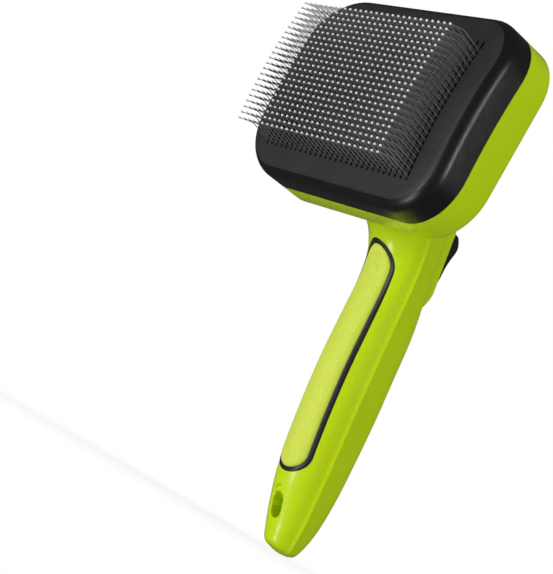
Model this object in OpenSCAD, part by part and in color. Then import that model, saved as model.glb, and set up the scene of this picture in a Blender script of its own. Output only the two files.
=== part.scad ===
// Slicker brush with retracting pins: a wide head on a back-swept handle.
// Working frame: pins face -Y, the head is up (+Z), X = 0 is the plane of symmetry.
// The design origin is the middle of the pin grid on the cover's face, and place()
// moves the finished part so that the handle's tip stands on Z = 0.

/* [Head] */
// Width of the head
head_w = 100; // [90:1:110]
// Height of the head
head_h = 71; // [68:0.5:76]
// Corner radius of the head, seen from the front
head_corner = 18; // [10:0.5:22]
// How far the head's middle stands above the middle of the pin grid
head_lift = 1.8; // [0:0.1:3]
// Depth of the black front cover
cover_depth = 11.6; // [11:0.1:14]
// Depth of the tray behind it
tray_depth = 13.9; // [13.9:0.1:18]
// How far the crowned face falls away at the head's top and bottom edges
face_crown = 3.6; // [2:0.1:5]
// Wall thickness of cover and tray
head_wall = 2.2; // [1.8:0.1:2.4]

/* [Pins] */
// Number of pin columns
pin_columns = 28; // [20:1:28]
// Number of pin rows
pin_rows = 23; // [15:1:23]
// Distance between columns
column_pitch = 2.8; // [2.4:0.1:2.8]
// Distance between rows
row_pitch = 2.09; // [1.8:0.01:2.09]
// Thickness of the wire
wire = 0.45; // [0.35:0.05:0.5]
// Straight length of a pin in front of the face
shank_out = 9; // [8:0.1:11]
// How far the shank leans up over that length
shank_rise = 1.45; // [0:0.05:1.6]
// Length of the bent end
tip_out = 5.9; // [4:0.1:7]
// How far the bent end drops
tip_drop = 1.6; // [1:0.1:2.5]
// Diameter of the ball on the tip
ball = 1.1; // [0.8:0.1:1.3]

/* [Mechanism] */
// Travel of the pin carrier
carrier_travel = 4.7; // [3:0.1:4.7]
// Travel of the push button
button_travel = 3.2; // [2.5:0.1:3.2]
// Radius of the rocker's pivot pin
pivot_r = 1.5; // [1.2:0.1:1.8]
// Radial running clearance
running_gap = 0.05; // [0.02:0.01:0.1]

/* [Handle] */
// Wall thickness of the handle's two shells
shell_wall = 2.3; // [2:0.1:2.6]
// Half width of the front grip inlay, with its border
inlay_half = 8.1; // [7:0.1:8.5]
// Width of the border round the front grip
border = 1.6; // [1:0.1:2]
// Thickness of the soft inlays
inlay_depth = 1.2; // [1:0.1:1.4]
// Width of the oblong hang hole
hang_w = 5.2; // [4.6:0.1:6]
// Length of the oblong hang hole
hang_l = 8.6; // [8:0.1:9.5]

/* [Hidden] */

head_depth = cover_depth + tray_depth;
floor_y = head_depth - head_wall;
face_r = (head_h * head_h / 4 + face_crown * face_crown) / (2 * face_crown);
grid_w = (pin_columns - 1) * column_pitch;
grid_h = (pin_rows - 1) * row_pitch;
slot_w = 1;
slot_below = 1.35;
slot_above = 3.4;

tip_z = -143.3;
front_y = -shank_out - tip_out - ball / 2;
back_y = 70;

cushion_y = 2.6;
cushion_t = 3;
carrier_y = cushion_y + cushion_t;
carrier_back = 9.6;
carrier_w = grid_w + 7.4;
carrier_h = grid_h + 6;
rail_y = carrier_y + 0.5;
lean = shank_rise / shank_out;

guide_x = 36;
guide_z = 19;
guide_r = 2;
sleeve_r = 3.3;
sleeve_end = 18.3;
sleeve_floor = 9;
guide_end = sleeve_floor + carrier_travel + 0.3;
spring_wire = 0.9;
spring_r = 4.6;

// pivot and the two contact points of the rocker, as [y, z]
pivot = [40, -18];
rocker_w = 7;
tip_r = 2;
hub_r = 3.6;
lower_arm = 15.5;
thumb_tilt = 12;
along = [sin(thumb_tilt), -cos(thumb_tilt)];
outward = [cos(thumb_tilt), sin(thumb_tilt)];
lower_tip = pivot + lower_arm * along;
upper_tip = [28, 3.5];
knee = [28, -9];
bar_y = upper_tip[0] + tip_r + running_gap;
bar_t = 2;
bar_z = [1, 6.3];
yoke_x = 8.5;
yoke_t = 2;
ear_x = [4.6, 7.6];
pin_half = 8.2;

// thumb frame: its origin lies on the housing's face, s runs down the handle, n outward
thumb_origin = [60.4, -27.9];
stem_s = (lower_tip - thumb_origin) * along;
stem_end = (lower_tip - thumb_origin) * outward + tip_r + running_gap;
stem_r = 2.4;
button_half_w = 5.5;
button_half_l = 9.4;
button_under = -3;
well_gap = 0.3;
spring_room = 4.3;
well_floor = button_under - button_travel - spring_room;
well_bottom = well_floor - 1.5;
housing_half_w = 7.6;
housing_top = -10.9;
housing_low = 11.2;
housing_tail = 21.4;

// handle stations from the tray to the tip:
// [front y, z], [parting line y, z], [back y, z], half width at the parting line, and how
// square the back's corners are
STATIONS = [
    [[25.5, -30.5], [25.5, -6], [25.5, 19], 19, 4],
    [[28.5, -31.5], [29.2, -8.3], [29.5, 17.8], 18, 4],
    [[32, -33.6], [33.4, -11.8], [34, 14.6], 17.2, 4],
    [[35, -36], [37.4, -17.6], [39.8, 8.8], 15.9, 4],
    [[37.5, -38.8], [41.2, -24], [45, 0], 15.1, 4],
    [[39.3, -42], [44.4, -30], [49.5, -10], 14.2, 4],
    [[40.3, -46.5], [47.2, -38], [53.7, -23.6], 13.3, 5],
    [[40.8, -53], [49.3, -48], [57.4, -39.7], 12.6, 6.5],
    [[41.3, -63], [51, -60], [61.9, -56.8], 12.2, 8],
    [[42.4, -77], [52.9, -76], [64.5, -74.4], 12.2, 8],
    [[44.4, -91], [54.8, -90.5], [66.5, -89.2], 12.2, 8],
    [[47, -105], [57, -105], [68, -104.6], 12, 8],
    [[50, -118.5], [59.3, -118.5], [69.3, -118.5], 11.4, 8],
    [[54, -129.5], [61.9, -130], [70, -130.4], 9.8, 8],
    [[57, -136.7], [63.6, -137.2], [69.6, -137.4], 8.1, 8],
    [[59.2, -141.2], [64.8, -141.5], [68.8, -141.6], 6.4, 8],
    [[62.8, -143.1], [65.8, -143.3], [68.2, -143.3], 3.2, 8]
];
crease_angle = 68;
half_steps = 7;
CAVITY_LAST = 11;

// self-tapping screws
screw_r = 1.4;
screw_head_r = 2.7;
screw_head_h = 1.8;
neck_screw_l = 6;
handle_screw_l = 10;
boss_r = 3.1;
well_boss_r = 4.4;
NECK_SCREW_XZ = [[-9.2, 11.2], [9.2, 11.2], [-11, -18], [11, -18]];
HANDLE_SCREW_Z = [-64, -84, -102];

// the hang hole and the dimple above it
hang_z = -129.3;
dimple_z = -125.4;
dimple_r = 2.4;

// heights of the two textured areas of the back grip, and the smooth rim round them
UPPER_GRIP = [-16.6, 20];
LOWER_GRIP = [-130, -53.4];
grip_rim = 1.7;

// heights of the front grip's two ends
inlay_top = -35.3;
inlay_low = -118.3;

lime = [0.66, 0.80, 0.06];
black = [0.07, 0.07, 0.08];

// ---------- placing ----------

module place() {
    translate([0, -(front_y + back_y) / 2, -tip_z]) children();
}

// turns a shape drawn in XZ and raised along +Z into one that runs along +Y
module along_y(y0, y1) {
    translate([0, y1, 0])
        rotate([90, 0, 0])
            linear_extrude(height = y1 - y0)
                children();
}

// cylinder along Y
module rod_y(x, z, r, y0, y1) {
    translate([x, y1, z])
        rotate([90, 0, 0])
            cylinder(r = r, h = y1 - y0, $fn = 48);
}

// cylinder along X, centred on x = 0
module rod_x(at, r, width) {
    translate([-width / 2, at[0], at[1]])
        rotate([0, 90, 0])
            cylinder(r = r, h = width, $fn = 48);
}

// a profile drawn as [y, z] points, given a width along X
module slab_x(width) {
    translate([-width / 2, 0, 0])
        rotate([90, 0, 90])
            linear_extrude(height = width)
                children();
}

// the thumb frame: X across, Y outward, Z up the handle
module thumb_frame() {
    translate([0, thumb_origin[0], thumb_origin[1]])
        rotate([thumb_tilt, 0, 0])
            children();
}

// ---------- head ----------

module rounded_rect(w, h, r) {
    translate([0, head_lift])
        for (sx = [-1, 1], sz = [-1, 1])
            translate([sx * (w / 2 - r), sz * (h / 2 - r)])
                circle(r = r, $fn = 64);
    translate([0, head_lift]) square([w - 2 * r, h], center = true);
    translate([0, head_lift]) square([w, h - 2 * r], center = true);
}

// solid behind a crowned face that stands y0 behind the front of the head
module behind_face(y0) {
    translate([-head_w, y0 + face_r, head_lift])
        rotate([0, 90, 0])
            cylinder(r = face_r, h = 2 * head_w, $fn = 200);
}

module head_block(inset, y0, y1) {
    along_y(y0, y1)
        rounded_rect(head_w - 2 * inset, head_h - 2 * inset, head_corner - inset);
}

module slot(x) {
    z0 = -grid_h / 2 - slot_below + slot_w / 2;
    z1 = grid_h / 2 + slot_above - slot_w / 2;
    translate([x - slot_w / 2, -1, z0]) cube([slot_w, 8, z1 - z0]);
    rod_y(x, z0, slot_w / 2, -1, 7);
    rod_y(x, z1, slot_w / 2, -1, 7);
}

module front_cover() {
    color(black)
        place()
            difference() {
                intersection() {
                    head_block(0, 0, cover_depth + face_crown + 1);
                    behind_face(0);
                }
                behind_face(cover_depth);
                intersection() {
                    head_block(head_wall, 0, cover_depth + face_crown + 2);
                    behind_face(head_wall - 0.2);
                }
                for (i = [0 : pin_columns - 1])
                    slot(i * column_pitch - grid_w / 2);
            }
}

module head_tray() {
    color(lime)
        place()
            difference() {
                union() {
                    difference() {
                        intersection() {
                            head_block(0, cover_depth, head_depth);
                            behind_face(cover_depth);
                        }
                        head_block(head_wall, cover_depth - 1, floor_y);
                    }
                    for (sx = [-1, 1], sz = [-1, 1])
                        rod_y(sx * guide_x, sz * guide_z, guide_r, guide_end, floor_y + 1);
                    for (side = [-1, 1])
                        pivot_ear(side);
                }
                translate([-yoke_x - 0.6, floor_y - 1, bar_z[0] - 1])
                    cube([2 * yoke_x + 1.2, head_wall + 2, bar_z[1] - bar_z[0] + 2]);
                for (p = NECK_SCREW_XZ)
                    rod_y(p[0], p[1], screw_r, floor_y - 1, head_depth + 1);
                rod_x(pivot, pivot_r, 2 * ear_x[1] + 2);
            }
}

module pivot_ear(side) {
    x0 = side > 0 ? ear_x[0] : -ear_x[1];
    translate([x0, 0, 0])
        rotate([90, 0, 90])
            linear_extrude(height = ear_x[1] - ear_x[0])
                polygon([[floor_y + 1, pivot[1] - 5.5], [pivot[0], pivot[1] - 3.4],
                         [pivot[0] + 3, pivot[1] - 1.8], [pivot[0] + 3, pivot[1] + 1.8],
                         [pivot[0], pivot[1] + 3.4], [floor_y + 1, pivot[1] + 5.5]]);
}

// ---------- pin carrier ----------

module grid_block(w, h, y0, y1) {
    translate([-w / 2, y0, -h / 2]) cube([w, y1 - y0, h]);
}

module pin_cushion() {
    color([0.12, 0.12, 0.13])
        place()
            difference() {
                intersection() {
                    grid_block(carrier_w, carrier_h, 0, carrier_back);
                    behind_face(cushion_y);
                }
                behind_face(carrier_y);
            }
}

module pin_carrier() {
    color([0.75, 0.75, 0.72])
        place()
            difference() {
                union() {
                    intersection() {
                        grid_block(carrier_w, carrier_h, 0, carrier_back);
                        behind_face(carrier_y);
                    }
                    for (sx = [-1, 1], sz = [-1, 1])
                        rod_y(sx * guide_x, sz * guide_z, sleeve_r, carrier_back - 0.5, sleeve_end);
                    for (side = [-1, 1])
                        translate([side > 0 ? yoke_x - yoke_t : -yoke_x, carrier_back - 0.5, bar_z[0]])
                            cube([yoke_t, bar_y + bar_t - carrier_back + 0.5, bar_z[1] - bar_z[0]]);
                    translate([-yoke_x, bar_y, bar_z[0]])
                        cube([2 * yoke_x, bar_t, bar_z[1] - bar_z[0]]);
                }
                for (sx = [-1, 1], sz = [-1, 1])
                    rod_y(sx * guide_x, sz * guide_z, guide_r + running_gap, sleeve_floor,
                          sleeve_end + 1);
            }
}

function face_y(z) = face_r - sqrt(face_r * face_r - (z - head_lift) * (z - head_lift));

// one bent wire in the YZ plane, as a flat outline of the wire's thickness
module wire_outline(z) {
    y = face_y(z);
    root_z = z - lean * rail_y;
    root = [rail_y + face_y(root_z) + 0.2, root_z];
    bend = [y - shank_out, z + shank_rise];
    tip = bend + [-tip_out, -tip_drop];
    t = wire / 2;
    mid = t * 0.25;
    polygon([root + [0, t], bend + [-mid, t], tip + [0, t], tip + [0, -t], bend + [mid, -t],
             root + [0, -t]]);
    translate(tip) circle(d = ball, $fn = 16);
}

// the curved rail that holds a column's wires inside the carrier
module rail_outline() {
    steps = 12;
    z0 = -grid_h / 2 - 2;
    dz = (grid_h + 4) / steps;
    front = [for (k = [0 : steps]) let (z = z0 + k * dz) [rail_y + face_y(z) - 0.1, z]];
    back = [for (k = [steps : -1 : 0]) let (z = z0 + k * dz) [rail_y + face_y(z) + 0.5, z]];
    polygon(concat(front, back));
}

module pins() {
    color([0.8, 0.8, 0.82])
        place()
            for (i = [0 : pin_columns - 1])
                translate([i * column_pitch - grid_w / 2 - wire / 2, 0, 0])
                    rotate([90, 0, 90])
                        linear_extrude(height = wire)
                            union() {
                                rail_outline();
                                for (j = [0 : pin_rows - 1])
                                    wire_outline(j * row_pitch - grid_h / 2);
                            }
}

// ---------- springs ----------

function coil_point(r, pitch, turn) =
    [r * cos(360 * turn), r * sin(360 * turn), pitch * turn];

// a coil along +Z: a six-sided wire swept round the helix
module coil(r, wire_d, length, turns) {
    per_turn = 14;
    sides = 6;
    n = round(turns * per_turn);
    pitch = (length - wire_d) / turns;
    rings = [for (k = [0 : n])
        let (turn = k / per_turn, c = coil_point(r, pitch, turn), a = 360 * turn)
            [for (s = [0 : sides - 1])
                let (b = 360 * s / sides, out = wire_d / 2 * cos(b), up = wire_d / 2 * sin(b))
                    c + [out * cos(a), out * sin(a), up + wire_d / 2]]];
    loft(rings);
}

module coil_y(x, z, y0, y1, r, wire_d, turns) {
    translate([x, y1, z])
        rotate([90, 0, 0])
            coil(r, wire_d, y1 - y0, turns);
}

module carrier_springs() {
    color([0.7, 0.7, 0.72])
        place()
            for (sx = [-1, 1], sz = [-1, 1])
                coil_y(sx * guide_x, sz * guide_z, carrier_back + 0.1, floor_y - 0.1, spring_r,
                       spring_wire, 5);
}

module button_spring() {
    color([0.7, 0.7, 0.72])
        place()
            thumb_frame()
                coil_y(0, -stem_s, well_floor + 0.1, button_under - 0.1, 3.5, 0.7, 4);
}

// ---------- rocker and button ----------

module rocker_lever() {
    color([0.85, 0.85, 0.8])
        place()
            difference() {
                union() {
                    slab_x(rocker_w) {
                        hull() {
                            translate(pivot) circle(r = 2, $fn = 24);
                            translate(lower_tip) circle(r = 1.3, $fn = 16);
                        }
                        hull() {
                            translate(pivot) circle(r = 2.6, $fn = 24);
                            translate(knee) circle(r = 1.8, $fn = 16);
                        }
                        hull() {
                            translate(knee) circle(r = 1.8, $fn = 16);
                            translate(upper_tip) circle(r = 1.6, $fn = 16);
                        }
                    }
                    rod_x(pivot, hub_r, rocker_w + 1.6);
                    rod_x(lower_tip, tip_r, rocker_w);
                    rod_x(upper_tip, tip_r, rocker_w);
                }
                rod_x(pivot, pivot_r + running_gap, rocker_w + 4);
            }
}

module lever_pin() {
    color([0.6, 0.6, 0.62])
        place()
            rod_x(pivot, pivot_r, 2 * pin_half);
}

// side profile of the button in the thumb frame: [n, -s]
module button_profile() {
    polygon([[button_under, button_half_l], [1.6, button_half_l], [2.6, button_half_l - 0.6],
             [4.9, 5.2], [5.3, 4.2], [5.1, 2.8], [4.1, 0.4], [3.1, -2.6], [2.6, -5.4],
             [2.2, -7.6], [1.2, -button_half_l + 0.5], [0.2, -button_half_l],
             [button_under, -button_half_l]]);
}

module push_button() {
    color(black)
        place()
            thumb_frame() {
                slab_x(2 * button_half_w) button_profile();
                rod_y(0, -stem_s, stem_r, stem_end, button_under + 0.5);
            }
}

// side profile of the housing in the thumb frame: [n, -s]
module housing_profile() {
    polygon([[well_bottom, -housing_top], [-1.4, -housing_top], [-0.3, -housing_top - 0.4],
             [0, -housing_top - 1.4], [0, -housing_low - 1.6], [-0.7, -housing_low - 4.2],
             [-2.1, -housing_tail + 3.4], [-4.2, -housing_tail + 1.2], [-6.2, -housing_tail],
             [-6.2, -housing_low], [well_bottom, -housing_low]]);
}

module button_housing() {
    color(lime)
        place()
            thumb_frame()
                difference() {
                    slab_x(2 * housing_half_w) housing_profile();
                    translate([-button_half_w - well_gap, well_floor, -button_half_l - well_gap])
                        cube([2 * (button_half_w + well_gap), 20,
                              2 * (button_half_l + well_gap)]);
                    rod_y(0, -stem_s, stem_r + 2 * running_gap, well_bottom - 1, well_floor + 1);
                }
}

// room that the housing and the rocker's neck of the handle need in the back shell
module housing_room() {
    thumb_frame()
        slab_x(2 * housing_half_w)
            polygon([[well_bottom - 4, -housing_top], [12, -housing_top], [12, -housing_tail],
                     [-6.2, -housing_tail], [-6.2, -housing_low],
                     [well_bottom - 4, -housing_low]]);
}

// ---------- handle ----------

// Catmull-Rom curve through four values or points
function blend(a, b, c, d, t) =
    0.5 * (2 * b + (c - a) * t + (2 * a - 5 * b + 4 * c - d) * t * t
           + (3 * b - a - 3 * c + d) * t * t * t);

function station(i, t) =
    let (last = len(STATIONS) - 1,
         a = STATIONS[max(i - 1, 0)], b = STATIONS[i],
         c = STATIONS[min(i + 1, last)], d = STATIONS[min(i + 2, last)])
        [for (k = [0 : 4]) blend(a[k], b[k], c[k], d[k], t)];

// the driving stations with one more between each two
function stations(last) =
    concat([for (i = [0 : last - 1]) for (t = [0, 0.5]) station(i, t)], [STATIONS[last]]);

function unit(v) = v / norm(v);

function at(origin, dir, d, x) = [x, origin[0] + dir[0] * d, origin[1] + dir[1] * d];

// front half of a section, from the left parting line round to the right one
function front_half(s, off, past) =
    let (f = unit(s[1] - s[0]), depth = norm(s[1] - s[0]), a = s[3] + off)
        concat([for (k = [-half_steps : half_steps])
                    let (q = crease_angle * k / half_steps,
                         d = -off + (depth + off) * (1 - cos(q)) / (1 - cos(crease_angle)))
                        at(s[0], f, d, a * sin(q) / sin(crease_angle))],
               past > 0 ? [at(s[1], f, past, a), at(s[1], f, past, -a)] : []);

// how much narrower than the parting line the back is: the squarer, the less
function back_taper(squareness) = 0.14 - 0.01 * squareness;

// back half of a section, from the right parting line round to the left one
function back_half(s, off, past) =
    let (b = unit(s[2] - s[1]), depth = norm(s[2] - s[1]) + off, a = s[3] + off)
        concat([for (k = [-half_steps : half_steps])
                    let (q = 90 * k / half_steps,
                         u = pow(max(cos(q), 0), 2 / s[4]),
                         w = pow(abs(sin(q)), 2 / s[4]) * (1 - back_taper(s[4]) * u))
                        at(s[1], b, u * depth, (k > 0 ? -1 : 1) * a * w)],
               past > 0 ? [at(s[1], b, -past, -a), at(s[1], b, -past, a)] : []);

// closed solid through a list of point rings
module loft(rings) {
    m = len(rings[0]);
    n = len(rings);
    points = [for (ring = rings) for (p = ring) p];
    sides = [for (i = [0 : n - 2], j = [0 : m - 1])
        let (a = i * m + j, b = i * m + (j + 1) % m, c = a + m, d = b + m)
            for (f = [[a, b, d], [a, d, c]]) f];
    first = [for (j = [m - 1 : -1 : 0]) j];
    final = [for (j = [0 : m - 1]) (n - 1) * m + j];
    polyhedron(points, concat([first], sides, [final]));
}

module front_solid(off = 0, past = 0, last = len(STATIONS) - 1) {
    loft([for (s = stations(last)) front_half(s, off, past)]);
}

module back_solid(off = 0, past = 0, last = len(STATIONS) - 1) {
    loft([for (s = stations(last)) back_half(s, off, past)]);
}

function handle_screw_y(z) = 55.3 - 0.135 * (z - HANDLE_SCREW_Z[0]);

module neck_bosses() {
    for (p = NECK_SCREW_XZ)
        rod_y(p[0], p[1], boss_r, head_depth - 1, head_depth + neck_screw_l);
}

module handle_bosses(r) {
    for (z = HANDLE_SCREW_Z)
        rod_y(0, z, r, handle_screw_y(z) - 16, handle_screw_y(z) + 14);
}

module hang_hole() {
    half = (hang_l - hang_w) / 2;
    z = hang_z;
    translate([-hang_w / 2, 30, z - half]) cube([hang_w, 60, 2 * half]);
    rod_y(0, z + half, hang_w / 2, 30, 90);
    rod_y(0, z - half, hang_w / 2, 30, 90);
}

module neck_screw_bores() {
    for (p = NECK_SCREW_XZ)
        rod_y(p[0], p[1], screw_r, head_depth - 1, head_depth + neck_screw_l + 1);
}

// outline of the front grip, seen from the front
module inlay_outline(inset) {
    r = inlay_half - inset;
    z_top = inlay_top - inset - r;
    z_low = inlay_low + inset + r;
    translate([0, z_top]) circle(r = r, $fn = 48);
    translate([0, z_low]) circle(r = r, $fn = 48);
    translate([-r, z_low]) square([2 * r, z_top - z_low]);
}

module front_inlay(inset, proud) {
    intersection() {
        difference() {
            front_solid(proud);
            front_solid(-inlay_depth, 1);
        }
        along_y(20, 62) inlay_outline(inset);
    }
}

module handle_front_shell() {
    color(lime)
        place()
            difference() {
                front_solid();
                difference() {
                    translate([0, -0.01, 0]) front_solid(-shell_wall, 1, CAVITY_LAST);
                    neck_bosses();
                    handle_bosses(boss_r);
                }
                front_inlay(0, 3);
                neck_screw_bores();
                for (z = HANDLE_SCREW_Z)
                    rod_y(0, z, screw_r, handle_screw_y(z) - handle_screw_l, 80);
                hang_hole();
                rod_y(0, dimple_z, dimple_r, 40, 52.9);
            }
}

// half outline of the back grip, seen from the back, from its point down to its round end
function grip_edge(inset) =
    [[0, 14 - 2.6 * inset], [3.4, 12.4 - 1.9 * inset], [6.4 - 0.4 * inset, 8.6 - inset],
     [8.6 - 0.8 * inset, 3], [9.6 - inset, -4], [9.9 - inset, -14], [9.5 - inset, -26],
     [9.1 - inset, -38], [9.2 - inset, -60], [9.2 - inset, -90], [9 - inset, -104],
     [8.1 - inset, -111 + 0.4 * inset], [5.8 - 0.7 * inset, -116 + 0.8 * inset],
     [2.6, -118.4 + inset], [0, -119 + inset]];

module grip_outline(inset, z_low = -130, z_high = 20) {
    right = grip_edge(inset);
    left = [for (k = [len(right) - 2 : -1 : 1]) [-right[k][0], right[k][1]]];
    intersection() {
        polygon(concat(right, left));
        translate([-20, z_low]) square([40, z_high - z_low]);
    }
}

module back_skin(proud) {
    difference() {
        back_solid(proud);
        back_solid(-inlay_depth, 1);
    }
}

module back_inlay(inset, proud, z_low = -130, z_high = 20) {
    intersection() {
        back_skin(proud);
        along_y(20, 90) grip_outline(inset, z_low, z_high);
    }
}

module handle_back_shell() {
    color(lime)
        place()
            difference() {
                back_solid();
                difference() {
                    back_solid(-shell_wall, 1, CAVITY_LAST);
                    neck_bosses();
                    handle_bosses(well_boss_r);
                }
                back_inlay(0, 3);
                housing_room();
                neck_screw_bores();
                for (z = HANDLE_SCREW_Z) {
                    rod_y(0, z, screw_r, 20, 90);
                    rod_y(0, z, screw_head_r, handle_screw_y(z), 90);
                }
                hang_hole();
            }
}

module front_grip_border() {
    color(black)
        place()
            difference() {
                front_inlay(0, 0.35);
                along_y(20, 62) inlay_outline(border);
            }
}

module front_grip_pad() {
    color([0.76, 0.83, 0.27])
        place()
            front_inlay(border, 0.2);
}

module back_grip_frame() {
    color(black)
        place()
            difference() {
                back_inlay(0, 0.5);
                along_y(20, 90) grip_outline(grip_rim, UPPER_GRIP[0], UPPER_GRIP[1]);
                along_y(20, 90) grip_outline(grip_rim, LOWER_GRIP[0], LOWER_GRIP[1]);
                housing_room();
            }
}

module back_grip_upper() {
    color([0.1, 0.1, 0.11])
        place()
            back_inlay(grip_rim, 0.8, UPPER_GRIP[0], UPPER_GRIP[1]);
}

module back_grip_lower() {
    color([0.1, 0.1, 0.11])
        place()
            back_inlay(grip_rim, 0.8, LOWER_GRIP[0], LOWER_GRIP[1]);
}

// ---------- screws ----------

// pan-head screw along +Y with its head's underside at y
module screw(x, y, z, length, direction) {
    translate([x, y, z])
        rotate([direction > 0 ? -90 : 90, 0, 0])
            difference() {
                union() {
                    cylinder(r = screw_r, h = length, $fn = 32);
                    translate([0, 0, -screw_head_h])
                        cylinder(r = screw_head_r - 0.1, h = screw_head_h, $fn = 32);
                }
                for (turn = [0, 90])
                    rotate(turn)
                        translate([-1.5, -0.25, -screw_head_h - 1])
                            cube([3, 0.5, 2]);
            }
}

module neck_screws() {
    color([0.55, 0.55, 0.57])
        place()
            for (p = NECK_SCREW_XZ)
                screw(p[0], floor_y, p[1], neck_screw_l + head_wall - 0.5, 1);
}

module handle_screws() {
    color([0.55, 0.55, 0.57])
        place()
            for (z = HANDLE_SCREW_Z)
                screw(0, handle_screw_y(z), z, handle_screw_l - 0.5, -1);
}

front_cover();
head_tray();
pin_cushion();
pin_carrier();
pins();
carrier_springs();
rocker_lever();
lever_pin();
push_button();
button_spring();
button_housing();
handle_front_shell();
handle_back_shell();
front_grip_border();
front_grip_pad();
back_grip_frame();
back_grip_upper();
back_grip_lower();
neck_screws();
handle_screws();
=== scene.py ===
"""Slicker brush with retracting pins: the looks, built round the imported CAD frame.

Sizes are millimetres in the design frame of the part: its origin is the middle of the pin grid on the
cover's face, the pins point along -Y, and the head is up (+Z). metres() moves them into the row frame.
"""

import math

import bmesh
import bpy
import numpy as np
from mathutils import Matrix, Vector
from mathutils.bvhtree import BVHTree


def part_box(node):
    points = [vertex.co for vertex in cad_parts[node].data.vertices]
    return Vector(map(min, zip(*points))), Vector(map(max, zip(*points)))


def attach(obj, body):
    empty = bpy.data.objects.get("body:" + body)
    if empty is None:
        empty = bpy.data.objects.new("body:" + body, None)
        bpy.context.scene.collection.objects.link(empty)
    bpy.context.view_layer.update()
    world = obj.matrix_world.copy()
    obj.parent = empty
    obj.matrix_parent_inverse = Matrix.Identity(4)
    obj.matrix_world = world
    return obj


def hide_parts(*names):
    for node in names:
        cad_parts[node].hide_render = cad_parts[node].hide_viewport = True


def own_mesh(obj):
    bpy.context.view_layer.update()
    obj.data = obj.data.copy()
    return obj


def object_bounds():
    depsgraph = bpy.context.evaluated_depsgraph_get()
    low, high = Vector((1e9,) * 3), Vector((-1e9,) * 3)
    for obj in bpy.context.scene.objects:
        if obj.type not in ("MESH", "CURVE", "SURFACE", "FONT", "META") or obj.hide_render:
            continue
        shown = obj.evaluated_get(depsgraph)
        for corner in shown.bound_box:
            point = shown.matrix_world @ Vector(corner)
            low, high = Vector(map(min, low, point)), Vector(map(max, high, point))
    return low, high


MM = 0.001
rng = np.random.default_rng(7)

# ---------- driving sizes, as in the part ----------

HEAD_W, HEAD_H, HEAD_CORNER, HEAD_LIFT = 100.0, 71.0, 18.0, 1.8
HEAD_DEPTH, HEAD_WALL = 25.5, 2.2
FACE_CROWN = 3.6
FACE_WALL = 2.0
FACE_R = (HEAD_H**2 / 4 + FACE_CROWN**2) / (2 * FACE_CROWN)
COVER_FILLET = 4.6
TRAY_FILLET = 1.6
# depth of the seam between cover and tray at mid-height, and how much of the face's crown it follows
SEAM_DEPTH, SEAM_BOW = 12.5, 0.7

COLUMNS, ROWS, COLUMN_PITCH, ROW_PITCH = 28, 23, 2.8, 2.09
GRID_W, GRID_H = (COLUMNS - 1) * COLUMN_PITCH, (ROWS - 1) * ROW_PITCH
SLOT_W, SLOT_LOW, SLOT_HIGH, SLOT_CHAMFER = 1.0, -GRID_H / 2 - 1.35, GRID_H / 2 + 3.4, 0.12
# how deep a wire's root goes, over what length it bends, how unevenly the wires stand, and the bead on
# its tip: places along the wire and sizes, in ball radii
WIRE_R, WIRE_ROOT, WIRE_BEND, PIN_SCATTER, BALL_R = 0.16, 4.4, 0.9, 0.015, 0.43
BEAD = ((-1.25, 0.42), (-1.0, 0.62), (-0.55, 0.88), (0.0, 1.0), (0.5, 0.86), (0.85, 0.5), (1.0, 0.12))
SHANK_OUT, SHANK_RISE, TIP_OUT, TIP_DROP = 9.0, 1.45, 5.9, 1.6

WINDOW_X, WINDOW_Z = 9.1, (0.0, 7.3)
GUIDE_X, GUIDE_Z, GUIDE_R, GUIDE_END = 36.0, 19.0, 2.0, 14.0
PIVOT = (40.0, -18.0)
EAR_X, EAR_R, EAR_FOOT = (4.6, 7.6), 3.2, 5.5

THUMB_ORIGIN, THUMB_TILT = (60.4, -27.9), math.radians(12)
BUTTON_HALF_W, BUTTON_HALF_L = 5.5, 9.4
STEM_R, STEM_Z, STEM_IN = 2.4, -1.57, -15.8
WELL_GAP, WELL_CORNER, WELL_MOUTH = 0.3, 1.6, 0.25
HOUSING_HALF_W, HOUSING_TOP, HOUSING_LOW, HOUSING_TAIL = 7.6, 10.9, -11.2, -21.4

# handle stations from the tray to the tip:
# front y, z, then the parting line's y, z, then the back's y, z, the half width, and how square the
# back's corners are
STATIONS = np.array([
    [25.5, -30.5, 25.5, -6, 25.5, 19, 19, 4],
    [28.5, -31.5, 29.2, -8.3, 29.5, 17.8, 18, 4],
    [32, -33.6, 33.4, -11.8, 34, 14.6, 17.2, 4],
    [35, -36, 37.4, -17.6, 39.8, 8.8, 15.9, 4],
    [37.5, -38.8, 41.2, -24, 45, 0, 15.1, 4],
    [39.3, -42, 44.4, -30, 49.5, -10, 14.2, 4],
    [40.3, -46.5, 47.2, -38, 53.7, -23.6, 13.3, 5],
    [40.8, -53, 49.3, -48, 57.4, -39.7, 12.6, 6.5],
    [41.3, -63, 51, -60, 61.9, -56.8, 12.2, 8],
    [42.4, -77, 52.9, -76, 64.5, -74.4, 12.2, 8],
    [44.4, -91, 54.8, -90.5, 66.5, -89.2, 12.2, 8],
    [47, -105, 57, -105, 68, -104.6, 12, 8],
    [50, -118.5, 59.3, -118.5, 69.3, -118.5, 11.4, 8],
    [54, -129.5, 61.9, -130, 70, -130.4, 9.8, 8],
    [57, -136.7, 63.6, -137.2, 69.6, -137.4, 8.1, 8],
    [59.2, -141.2, 64.8, -141.5, 68.8, -141.6, 6.4, 8],
    [62.8, -143.1, 65.8, -143.3, 68.2, -143.3, 3.2, 8],
])
LAST_STATION = len(STATIONS) - 1
CREASE = math.radians(68)
CAVITY_LAST, SHELL_WALL = 11, 2.3
# the lip beside the crease: its width, how far it sinks and where that fades out; then how far from the
# crease its rounding starts
LIP, LIP_SINK, LIP_FADE, SOFT = 1.2, 0.42, 6.0, 0.3

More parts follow.
